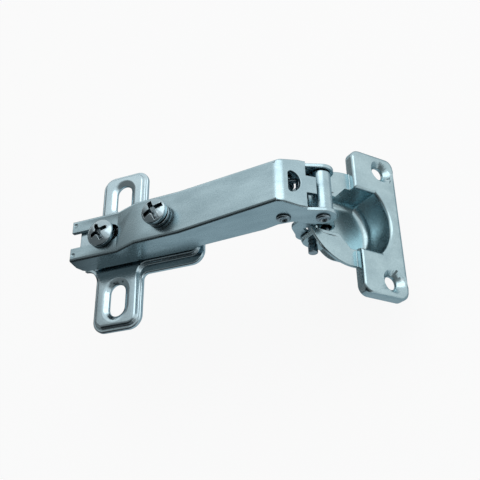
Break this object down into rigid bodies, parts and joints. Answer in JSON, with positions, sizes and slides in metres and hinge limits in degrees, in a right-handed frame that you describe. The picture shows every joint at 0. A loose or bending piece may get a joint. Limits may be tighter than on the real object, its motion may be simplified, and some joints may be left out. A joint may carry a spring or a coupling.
{
  "type": "concealed cup hinge",
  "caption": "Angled concealed furniture hinge with a slotted mounting plate, a slide-on arm, crossed links and a drawn cup, shown open.",
  "frame": {"origin": "middle of the two slots, on the back of the mounting plate", "axes": "+Z out of the mounting plate, +X along the arm towards the cup, Y along the hinge pins"},
  "size_m": [0.0996, 0.0558, 0.0468],
  "materials": {
    "zinc_sheet": "satin zinc plate",
    "steel_parts": "satin plated steel"
  },
  "bodies": {
    "plate": {"mounting_plate": "zinc_sheet"},
    "clamp_screw": {"clamp_screw": "steel_parts"},
    "arm": {"hinge_arm": "zinc_sheet", "side_screw_collar": "steel_parts", "front_arm_pin": "steel_parts", "rear_arm_pin": "steel_parts", "closing_spring": "steel_parts"},
    "side_screw": {"side_screw": "steel_parts"},
    "outer_link": {"outer_link": "zinc_sheet"},
    "inner_link": {"inner_link": "zinc_sheet"},
    "cup": {"hinge_cup": "zinc_sheet", "outer_cup_pin": "steel_parts", "inner_cup_pin": "steel_parts"}
  },
  "joints": [
    {"name": "arm_slide", "type": "slide", "parent": "plate", "child": "arm", "axis": [1, 0, 0], "range_m": [-0.0008, 0.0032]},
    {"name": "clamp_screw_turn", "type": "hinge", "parent": "plate", "child": "clamp_screw", "pos_m": [0, 0, 0.0125], "axis": [0, 0, 1], "continuous": true},
    {"name": "side_screw_turn", "type": "hinge", "parent": "arm", "child": "side_screw", "pos_m": [0.0218, 0, 0.0156], "axis": [0, 0, 1], "continuous": true},
    {"name": "outer_link_fold", "type": "hinge", "parent": "arm", "child": "outer_link", "pos_m": [0.0695, 0, 0.0076], "axis": [0, -1, 0], "range_deg": [0, 32]},
    {"name": "cup_turn", "type": "hinge", "parent": "outer_link", "child": "cup", "pos_m": [0.06207, 0, -0.00563], "axis": [0, -1, 0], "range_deg": [0, 63]},
    {"name": "inner_link_turn", "type": "hinge", "parent": "arm", "child": "inner_link", "pos_m": [0.0588, 0, 0.0103], "axis": [0, -1, 0], "range_deg": [0, 11.91]}
  ],
  "couplings": [
    {"joint": "cup_turn", "follows": "outer_link_fold", "ratio": 1.9688},
    {"joint": "inner_link_turn", "follows": "outer_link_fold", "ratio": 0.372}
  ]
}
